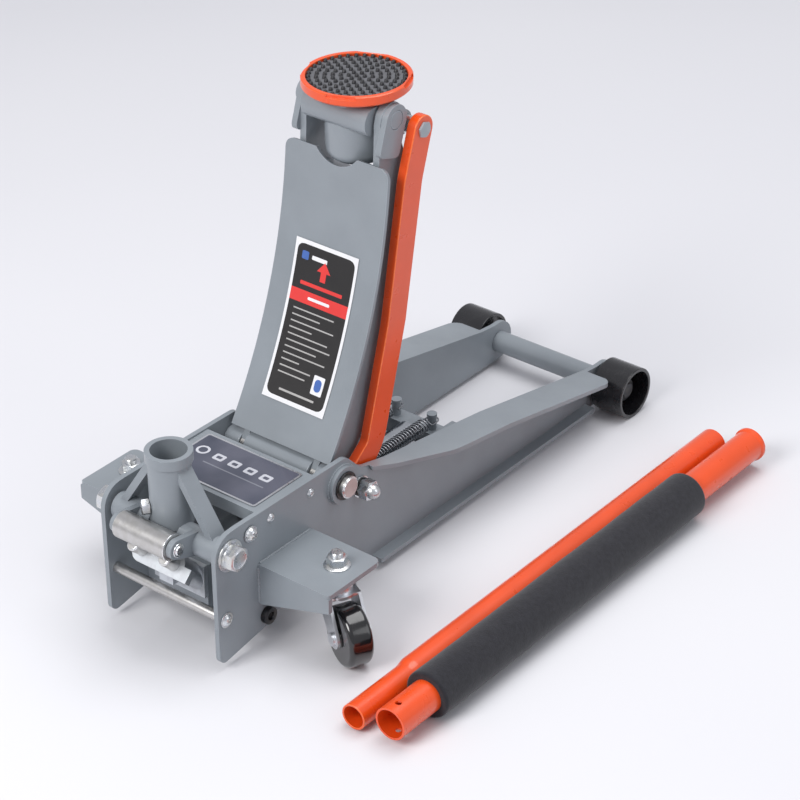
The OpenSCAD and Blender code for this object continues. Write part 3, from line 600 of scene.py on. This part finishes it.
def link_top():
    """Bolt of the link's upper end, with its spacer."""
    low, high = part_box("link_top_bolt")
    base = spot("link_swing") + spot("bracket_level") - spot("arm_lift")
    base.y = low.y
    axis = -LEFT
    shank, back = 6 * MM, low.y - high.y
    piece = Piece("link_top_screw")
    # The head takes the lighter edge copy of the grey paint: a painted highlight over the whole head.
    piece.hexagon(14 * MM, -2.3 * MM, 0, base, axis, spin=0.2)
    piece.lathe([(0, back), (shank, back), (shank, -2 * MM), (0, -2 * MM)], base, axis, 0.5 * MM,
                material=1)
    piece.washer(8.4 * MM, shank, -25.8 * MM, -12.2 * MM, base, axis, material=1)
    piece.make("bracket", [paint_highlight_chipped_edge, zinc], "zinc", "link_top_bolt")


def relief_plugs():
    """Hexagon plugs on the power unit."""
    piece = Piece("relief_plugs")
    shank, head = 4 * MM, 5 * MM
    for low, high in solids("valve_plugs"):
        base = Vector(((low.x + high.x) / 2, (low.y + high.y) / 2, low.z))
        top = high.z - low.z
        piece.lathe([(0, 0), (shank, 0), (shank, top - head), (0, top - head)], base, UP, 0.3 * MM)
        piece.hexagon(13 * MM, top - head - MM, top, base, UP, spin=0.5)
    piece.make("frame", [steel], "steel", "valve_plugs")


def filler_plug():
    """Rubber bung of the power unit."""
    low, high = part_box("filler_plug")
    base = Vector(((low.x + high.x) / 2, (low.y + high.y) / 2, low.z))
    top = high.z - low.z
    piece = Piece("filler_bung")
    piece.lathe([(0, 0), (4.2 * MM, 0), (5 * MM, 1.5 * MM), (5 * MM, top - 4.5 * MM),
                 (8 * MM, top - 4.4 * MM), (7.6 * MM, top - MM), (3 * MM, top),
                 (0, top - 0.6 * MM)], base, UP, 0.6 * MM)
    piece.make("frame", [rubber], "rubber", "filler_plug")


def lock_screw():
    """Hexagon-headed screw that clamps the handle in its socket."""
    corners = [v.co for v in NODES["socket_lock_screw"].data.vertices]
    centre = sum(corners, Vector()) / len(corners)
    off_rear = math.radians(37)
    axis = Vector((-math.cos(off_rear), math.sin(off_rear), 0))
    reach = [(corner - centre).dot(axis) for corner in corners]
    low, high = min(reach), max(reach)
    shank, head = 3 * MM, 7 * MM
    piece = Piece("lock_screw")
    piece.lathe([(0, low), (shank, low), (shank, high - head + MM), (0, high - head + MM)],
                centre, axis, 0.2 * MM)
    piece.hexagon(13 * MM, high - head, high, centre, axis, spin=0.2)
    piece.make("socket", [zinc], "zinc", "socket_lock_screw")


cover_fasteners()
tie_rod()
link_anchor()
socket_bolts()
mount_bolts()
kingpins()
link_top()
relief_plugs()
filler_plug()
lock_screw()


# ---- Springs ----

def helix(start, end, radius, turns, per_turn=14):
    """Points of a coil from start to end."""
    axis = (end - start).normalized()
    side = axis.orthogonal().normalized()
    other = axis.cross(side)
    count = int(turns * per_turn)
    made = []
    for i in range(count + 1):
        a = 2 * math.pi * i / per_turn
        out = math.cos(a) * side + math.sin(a) * other
        made.append(start.lerp(end, i / count) + radius * out)
    return made


def smooth_path(points):
    """Catmull-Rom curve through points."""
    path = [points[0], *points, points[-1]]
    steps = 5
    made = []
    for a, b, c, d in zip(path, path[1:], path[2:], path[3:]):
        for i in range(steps):
            t = i / steps
            made.append(0.5 * (2 * b + (c - a) * t + (2 * a - 5 * b + 4 * c - d) * t * t
                               + (3 * b - a - 3 * c + d) * t ** 3))
    return made + [points[-1]]


def return_springs():
    """Coils between hooks on the anchor plate and on the posts."""
    wire, turns = 0.95 * MM, 45
    to_post, bend, eye = 12 * MM, 6.2 * MM, 4.2 * MM
    anchor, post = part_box("spring_anchor_plate"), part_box("crosshead")
    for side, sign in (("left", 1), ("right", -1)):
        node = "return_spring_" + side
        low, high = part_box(node)
        radius = (high.z - low.z) / 2 - wire
        centre_y, centre_z = middle((low, high))[1], (high.z + low.z) / 2
        start = Vector((anchor[1].x + 0.6 * MM, centre_y, centre_z))
        end = Vector(((post[0].x + post[1].x) / 2 - to_post, centre_y, centre_z))
        coil = Piece(f"return_coil_{side}")
        coil.sweep(helix(start, end, radius, turns), wire)
        made = coil.make("frame", [spring_steel], "zinc", node, sharp=60)
        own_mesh(made)

        hook = Piece(f"return_hook_front_{side}")
        path = [end + Vector((0, 0, radius)), end + Vector((2 * MM, sign * 2 * MM, radius * 0.6)),
                end + Vector((4 * MM, sign * bend, 0)), end + Vector((to_post, sign * bend, 0))]
        path += [end + Vector((to_post + bend * math.sin(a), sign * bend * math.cos(a), 0))
                 for a in (math.radians(d) for d in range(20, 181, 20))]
        path += [end + Vector((7 * MM, -sign * bend, 0))]
        hook.sweep(smooth_path(path), wire)
        hook.make("ram", [spring_steel], "zinc", sharp=60)

        tail = Piece(f"return_hook_rear_{side}")
        ring = start + Vector((-4 * MM, 0, 0))
        path = [start + Vector((0.3 * MM, 0, radius)),
                start + Vector((-1.5 * MM, 0, radius * 0.75))]
        path += [ring + Vector((eye * math.cos(a), 0.6 * MM * math.sin(a), eye * math.sin(a)))
                 for a in (math.radians(d) for d in range(70, -221, -20))]
        tail.sweep(smooth_path(path), wire)
        tail.make("frame", [spring_steel], "zinc", sharp=60)


def plunger_springs():
    """Springs that push the two plungers back up."""
    wire, radius, turns = 0.7 * MM, 4.6 * MM, 1.4
    axis = Vector(JOINTS["plunger_stroke"]["axis"]).normalized()
    reach = [v.co.dot(axis) for v in NODES["plunger_springs"].data.vertices]
    length = max(reach) - min(reach)
    piece = Piece("plunger_coils")
    for box in solids("plunger_springs"):
        foot = middle(box) - axis * (length / 2)
        top = foot + axis * (length - wire)
        piece.sweep(helix(foot + axis * wire, top, radius, turns, 20), wire)
    made = piece.make("frame", [spring_steel], "zinc", "plunger_springs", sharp=60)
    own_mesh(made)


return_springs()
plunger_springs()


# ---- Saddle pad and foam grip ----

def saddle_pad():
    """Rubber disc with rings of tapered studs."""
    low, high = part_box("saddle_pad")
    centre = middle((low, high))
    radius = (high.x - low.x) / 2
    base = Vector((centre.x, centre.y, low.z))
    top = high.z - low.z
    disc = top - 3 * MM
    piece = Piece("saddle_rubber")
    piece.lathe([(0, 0), (radius, 0), (radius, disc - 0.4 * MM), (radius - 1.2 * MM, disc),
                 (0, disc + 0.1 * MM)], base, UP, 0.4 * MM, 96)
    rings, pitch = 6, 7.3 * MM
    for ring in range(rings + 1):
        count = max(1, 6 * ring)
        for i in range(count):
            a = 2 * math.pi * i / count
            foot = base + Vector((ring * pitch * math.cos(a), ring * pitch * math.sin(a), 0))
            # Studs take the darker stud material: painted shade.
            piece.lathe([(2.35 * MM, disc - 0.3 * MM), (2.0 * MM, disc + 0.4 * MM),
                         (1.7 * MM, top - 0.6 * MM), (1.2 * MM, top - 0.1 * MM), (0, top)],
                        foot, UP, steps=12, material=1)
    made = piece.make("saddle", [rubber, stud_painted_shade_rubber], "rubber", "saddle_pad", sharp=50)


def foam_grip():
    """Foam sleeve with soft cut ends, pressed a little out of round."""
    low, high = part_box("handle_grip")
    centre = middle((low, high))
    outer = (high.z - low.z) / 2
    inner = outer - 7.4 * MM
    length = high.x - low.x
    base = Vector((low.x, centre.y, centre.z))
    path = rounded([(inner, 0.4 * MM), (outer, 0), (outer, length), (inner, length - 0.4 * MM)],
                   3.2 * MM, 6)
    profile = []
    for a, b in zip(path, path[1:]):
        steps = max(1, int((b - a).length / (5 * MM)))
        profile += [a.lerp(b, i / steps) for i in range(steps)]
    profile += [path[-1]]
    piece = Piece("foam_sleeve")
    around, inset, swing = 64, 0.34 * MM, 0.7 * MM
    rings = []
    for radius, along in profile:
        share = (radius - inner) / (outer - inner)
        ring = []
        for k in range(around):
            a = 2 * math.pi * k / around
            swell = (0.12 * math.sin(3 * a + 31 * along) + 0.16 * math.sin(2 * a + 57 * along)
                     + 0.10 * math.sin(a + 143 * along))
            r = radius - (inset - swing * swell) * share
            ring.append(base + Vector((along, r * math.cos(a), r * math.sin(a))))
        rings.append(ring)
    rings.append(rings[0])
    piece.stack(rings)
    bmesh.ops.remove_doubles(piece.bm, verts=piece.bm.verts, dist=0.001 * MM)
    made = piece.make("handle_upper", [foam], "foam", "handle_grip", sharp=60)


saddle_pad()
foam_grip()


# ---- Weld beads ----

def bead(piece, points, radius):
    """Lays a rippled bead along points."""
    path, step = [], 0.5 * MM
    for a, b in zip(points, points[1:]):
        count = max(1, round((b - a).length / step))
        path += [a.lerp(b, i / count) for i in range(count)]
    ripple = 2.6 * MM
    radii = [radius * (0.86 + 0.14 * math.sin(2 * math.pi * i * step / ripple))
             for i in range(len(path))]
    piece.sweep(path, radii)


def welds():
    """Around each pivot boss, and along each caster bracket where it meets the side plate."""
    piece = Piece("frame_welds")
    centre_y = spot("arm_lift").y
    web, boss = 70 * MM, 19 * MM
    for sign in (1, -1):
        pivot = spot("arm_lift") + LEFT * sign * web
        ring = [pivot + boss * Vector((math.cos(t), 0, math.sin(t)))
                for t in (math.radians(a) for a in range(0, 361, 6))]
        bead(piece, ring, 1.5 * MM)
        low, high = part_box("caster_bracket_left" if sign > 0 else "caster_bracket_right")
        y = centre_y + sign * (web + 0.3 * MM)
        bead(piece, [Vector((low.x + 2 * MM, y, high.z)), Vector((high.x - 2 * MM, y, high.z))],
             1.7 * MM)
        bead(piece, [Vector((low.x, y, high.z - 3 * MM)), Vector((low.x, y, low.z + 2 * MM))],
             1.5 * MM)
    piece.make("frame", [paint], "frame_paint", sharp=60)


welds()


# ---- Labels, with plain bars in place of any wording ----

class Label:
    """Flat prints laid on a surface. u and v are directions along it, and out points away."""

    def __init__(self, name, node, origin, u, v, out):
        self.piece = Piece(name)
        self.origin, self.u, self.v, self.out = origin, u, v, out
        bm = bmesh.new()
        bm.from_mesh(NODES[node].data)
        self.tree = BVHTree.FromBMesh(bm)
        bm.free()

    def on(self, a, b, lift):
        """The point of the surface at a along u and b along v, lifted off it."""
        well_above = self.origin + self.u * a + self.v * b + self.out * 0.2
        hit = self.tree.ray_cast(well_above, -self.out)[0]
        if hit is None:
            raise ValueError(f"{self.piece.name} has no surface at {a:.4f}, {b:.4f}")
        return hit + self.out * lift

    def strip(self, a0, a1, half, middle_at, layer, material, step=3 * MM):
        """Print from a0 to a1 along u; half(a) is its half width along v."""
        count = max(2, int(abs(a1 - a0) / step) + 1)
        rows = []
        for i in range(count + 1):
            a = a0 + (a1 - a0) * i / count
            w = half(a)
            lift = (0.03 + 0.05 * layer) * MM
            rows.append([self.piece.bm.verts.new(self.on(a, middle_at - w, lift)),
                         self.piece.bm.verts.new(self.on(a, middle_at + w, lift))])
        for low, high in zip(rows, rows[1:]):
            self.piece.bm.faces.new([low[0], high[0], high[1], low[1]]).material_index = material

    def panel(self, a0, a1, b0, b1, corner, layer, material):
        """Rectangle with rounded corners."""
        def half(a):
            into = max(0.0, corner - min(a - a0, a1 - a))
            return (b1 - b0) / 2 - (corner - math.sqrt(max(0.0, corner ** 2 - into ** 2)))

        centre = (b0 + b1) / 2
        if corner:
            self.strip(a0, a0 + corner, half, centre, layer, material, corner / 7)
            self.strip(a1 - corner, a1, half, centre, layer, material, corner / 7)
        self.strip(a0 + corner, a1 - corner, half, centre, layer, material)


def arm_label():
    """Sticker of the arm: white rim, black field, red bands and arrow, tags, bars as text."""
    white, black, red, blue, pale = range(5)
    inks = [printed("ink_white", (0.80, 0.80, 0.82)),
            printed("ink_black", (0.009, 0.0075, 0.0075), 0.42, 0.12),
            printed("ink_red", (0.72, 0.035, 0.03)), printed("ink_blue", (0.05, 0.13, 0.42)),
            printed("ink_pale", (0.42, 0.41, 0.40))]
    pivot, head = spot("arm_lift"), spot("bracket_level")
    u = (head - pivot).normalized()
    out = Vector((-u.z, 0, u.x))
    reach = [(v.co - pivot).dot(u) for v in NODES["arm_label"].data.vertices]
    low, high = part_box("arm_label")
    foot = pivot + u * min(reach)
    foot.y = (low.y + high.y) / 2
    length = max(reach) - min(reach)
    half = (high.y - low.y) / 2
    label = Label("arm_sticker", "arm_label", foot, u, -LEFT, out)
    gap, end_rim, side_rim = 0.3 * MM, 4.4 * MM, 3.4 * MM
    label.panel(gap, length - gap, -half + gap, half - gap, 0, 0, white)
    label.panel(end_rim, length - end_rim, -half + side_rim, half - side_rim, 7 * MM, 1, black)

    band = length * 0.615
    label.panel(band, band + 12 * MM, -half + side_rim, half - side_rim, 0, 2, red)
    label.panel(band + 4.6 * MM, band + 7.4 * MM, -13 * MM, 13 * MM, 1.2 * MM, 3, white)
    label.panel(band + 17 * MM, band + 20.5 * MM, -25 * MM, 25 * MM, 0.8 * MM, 2, red)

    neck, tip = band + 34 * MM, band + 44 * MM
    label.strip(band + 25 * MM, neck, lambda a: 3.2 * MM, 0, 2, red)
    label.strip(neck, tip, lambda a: 8 * MM * (tip - a) / (tip - neck) + 0.01 * MM, 0, 2, red)

    label.panel(length - 19 * MM, length - 11 * MM, -28 * MM, -20 * MM, 1.5 * MM, 2, blue)
    label.panel(length - 17 * MM, length - 13 * MM, -16 * MM, 2 * MM, MM, 2, white)

    text, icon = 27 * MM, 10 * MM
    for i, share in enumerate((0.9, 0.62, 0.95, 0.5, 0.88, 0.97, 0.7, 0.93, 0.4, 0.9, 0.6)):
        line = band - 7 * MM - i * 6.2 * MM
        end = 2 * text * share - text
        label.panel(line, line + 1.3 * MM, -text, min(end, icon) if i >= 8 else end, 0, 2, pale)
    label.panel(18 * MM, 36 * MM, 15 * MM, 28 * MM, MM, 2, white)
    label.panel(21 * MM, 33 * MM, 17.5 * MM, 25.5 * MM, 3.9 * MM, 3, blue)
    label.panel(10.5 * MM, 12.5 * MM, -20 * MM, 22 * MM, 0, 2, pale)
    label.piece.make("lift_arm", inks, "arm_decal", "arm_label")


def name_plate():
    """Plate of the cover: foil rim, slate field, a ring, four tags and a dim line."""
    foil, slate, grey, dim = range(4)
    inks = [plated("foil_silver", (0.80, 0.81, 0.84), (0.72, 0.73, 0.76), 0.3), slate_ink(),
            printed("ink_grey_white", (0.56, 0.57, 0.62)), printed("ink_dim", (0.22, 0.23, 0.27))]
    low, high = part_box("cover_nameplate")
    origin = Vector(((low.x + high.x) / 2, (low.y + high.y) / 2, high.z - 0.1))
    label = Label("cover_plate_print", "cover_nameplate", origin, FORWARD, -LEFT, UP)
    gap, rim, hair = 0.3 * MM, 2.2 * MM, 0.01 * MM
    a, b = (high.x - low.x) / 2 - gap, (high.y - low.y) / 2 - gap
    label.panel(-a, a, -b, b, 3 * MM, 0, foil)
    label.panel(-a + rim, a - rim, -b + rim, b - rim, 2 * MM, 1, slate)
    label.panel(2 * MM, 16 * MM, -b + 8 * MM, -b + 22 * MM, 7 * MM - hair, 2, grey)
    label.panel(4.5 * MM, 13.5 * MM, -b + 10.5 * MM, -b + 19.5 * MM, 4.5 * MM - hair, 3, slate)
    for i in range(4):
        tag = -b + (30 + 19 * i) * MM
        label.panel(3 * MM, 13 * MM, tag, tag + 12 * MM, 2 * MM, 2, grey)
        label.panel(6 * MM, 10 * MM, tag + 3 * MM, tag + 9 * MM, MM, 3, slate)
    label.panel(-6.5 * MM, -5 * MM, -b + 28 * MM, b - 14 * MM, 0, 2, dim)
    label.piece.make("frame", inks, "plate_label", "cover_nameplate")


def slate_ink():
    """Dark slate in slow lighter and darker patches, a painted sheen of brushed foil under ink."""
    s = Shader("ink_slate", Metallic=0.45, Coat_Weight=0.5, Coat_Roughness=0.08)
    # Painted sheen: slow patches of lighter and darker slate.
    foil_sheen = s.between(s.noise(0.05, 2), 0.35, 0.65)
    s.colour(s.blend(foil_sheen, (0.055, 0.065, 0.10), (0.13, 0.135, 0.18)))
    s.rough(s.between(s.noise(0.002, 3, (1, 12, 1)), 0.3, 0.7, 0.3, 0.45))
    s.bump((s.noise(0.001, 2, (1, 14, 1)), 0.00002))
    return s.material


arm_label()
name_plate()


# ---- Floor, light and camera ----

def floor():
    """Sheet of studio paper."""
    s = Shader("studio_paper", Roughness=0.9, Specular_IOR_Level=0.15)
    s.colour(s.blend(s.between(s.noise(0.9, 2), 0.3, 0.7), (0.66, 0.66, 0.69), (0.69, 0.69, 0.715)))
    mesh = bpy.data.meshes.new("studio_floor")
    half = 9.0
    mesh.from_pydata([(-half, -half, 0), (half, -half, 0), (half, half, 0), (-half, half, 0)], [],
                     [(0, 1, 2, 3)])
    mesh.materials.append(s.material)
    made = bpy.data.objects.new("studio_floor", mesh)
    bpy.context.scene.collection.objects.link(made)


def softbox(name, at, aim, size, power, colour=(1, 1, 1)):
    """Round area light at a place, turned to its aim."""
    light = bpy.data.lights.new(name, "AREA")
    light.shape = "DISK"
    light.size = size
    light.energy = power
    light.color = colour
    made = bpy.data.objects.new(name, light)
    made.location = at
    made.rotation_euler = (Vector(aim) - Vector(at)).to_track_quat("-Z", "Y").to_euler()
    bpy.context.scene.collection.objects.link(made)


def lights():
    """A pale room, with a key from the rear, one light above and a weak one on the right."""
    world = bpy.data.worlds.new("studio")
    world.use_nodes = True
    background = world.node_tree.nodes["Background"]
    background.inputs["Color"].default_value = (0.93, 0.94, 1.0, 1)
    background.inputs["Strength"].default_value = 0.55
    bpy.context.scene.world = world
    aim = (0.05, 0, 0.15)
    softbox("key", (-2.4, 0.3, 2.0), aim, 1.5, 60, (1.0, 0.99, 0.98))
    softbox("top", (0.5, -0.2, 2.8), aim, 2.2, 42)
    softbox("fill", (0.4, -2.4, 1.5), aim, 1.6, 9, (0.97, 0.98, 1.0))


def camera():
    """A long lens behind the jack's right rear corner, looking down along it."""
    yaw, pitch, roll = (math.radians(a) for a in (39.003, -31.31, -0.4966))
    focal_length, from_pivot = 122.17, Vector((-1.59931, -1.43597, 1.36872))
    away = Vector((math.cos(pitch) * math.sin(math.pi / 2 - yaw), math.cos(pitch) * math.sin(yaw),
                   math.sin(pitch)))
    right = Vector((math.sin(yaw), -math.cos(yaw), 0))
    above = right.cross(away)
    tilted = right * math.cos(roll) + above * math.sin(roll)
    lens = bpy.data.cameras.new("camera")
    lens.lens = focal_length
    made = bpy.data.objects.new("camera", lens)
    matrix = made.matrix_world.to_3x3()
    matrix.col[0] = tilted
    matrix.col[1] = tilted.cross(away)
    matrix.col[2] = -away
    made.matrix_world = matrix.to_4x4()
    made.location = spot("arm_lift") + from_pivot
    bpy.context.scene.collection.objects.link(made)
    bpy.context.scene.camera = made


floor()
lights()
camera()
bpy.context.scene.view_settings.view_transform = "Standard"
